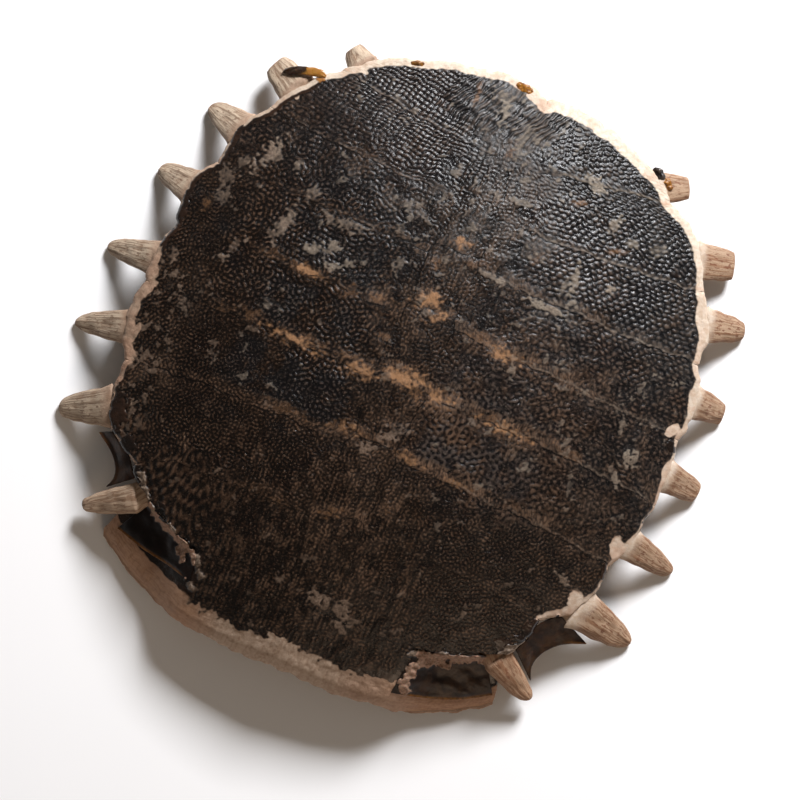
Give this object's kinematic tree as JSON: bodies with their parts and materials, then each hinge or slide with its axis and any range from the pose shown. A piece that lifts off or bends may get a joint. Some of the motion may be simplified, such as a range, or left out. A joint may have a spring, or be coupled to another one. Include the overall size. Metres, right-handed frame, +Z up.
{
  "type": "softshell turtle carapace",
  "caption": "Dried bony upper shell of a softshell turtle: a low oval dome of dark pitted plates joined at sutures, with pale rib ends standing out round the rim.",
  "frame": {"origin": "middle of the outline in plan, on the surface the rib tips rest on", "axes": "+Z up through the back of the animal, +X towards the animal's left, -Y towards the neck, +Y towards the tail"},
  "size_m": [0.1034, 0.0998, 0.0169],
  "materials": {
    "bone": "dry, matt, dark sculptured bone with pale cream rib ends",
    "dried_skin": "dark brown, glossy, slightly translucent",
    "dried_cartilage": "amber, glossy, slightly translucent"
  },
  "bodies": {
    "root": {"nuchal": "bone", "neural_1": "bone", "neural_2": "bone", "neural_3": "bone", "neural_4": "bone", "neural_5": "bone", "neural_6": "bone", "neural_7": "bone", "vertebra_8": "bone", "vertebra_9": "bone", "costal_right_1": "bone", "costal_right_2": "bone", "costal_right_3": "bone", "costal_right_4": "bone", "costal_right_5": "bone", "costal_right_6": "bone", "costal_right_7": "bone", "costal_right_8": "bone", "costal_left_1": "bone", "costal_left_2": "bone", "costal_left_3": "bone", "costal_left_4": "bone", "costal_left_5": "bone", "costal_left_6": "bone", "costal_left_7": "bone", "costal_left_8": "bone", "skin_right_pocket": "dried_skin", "skin_right_web": "dried_skin", "skin_left_pocket": "dried_skin", "skin_left_web": "dried_skin", "cartilage_right_7": "dried_cartilage"}
  },
  "joints": []
}
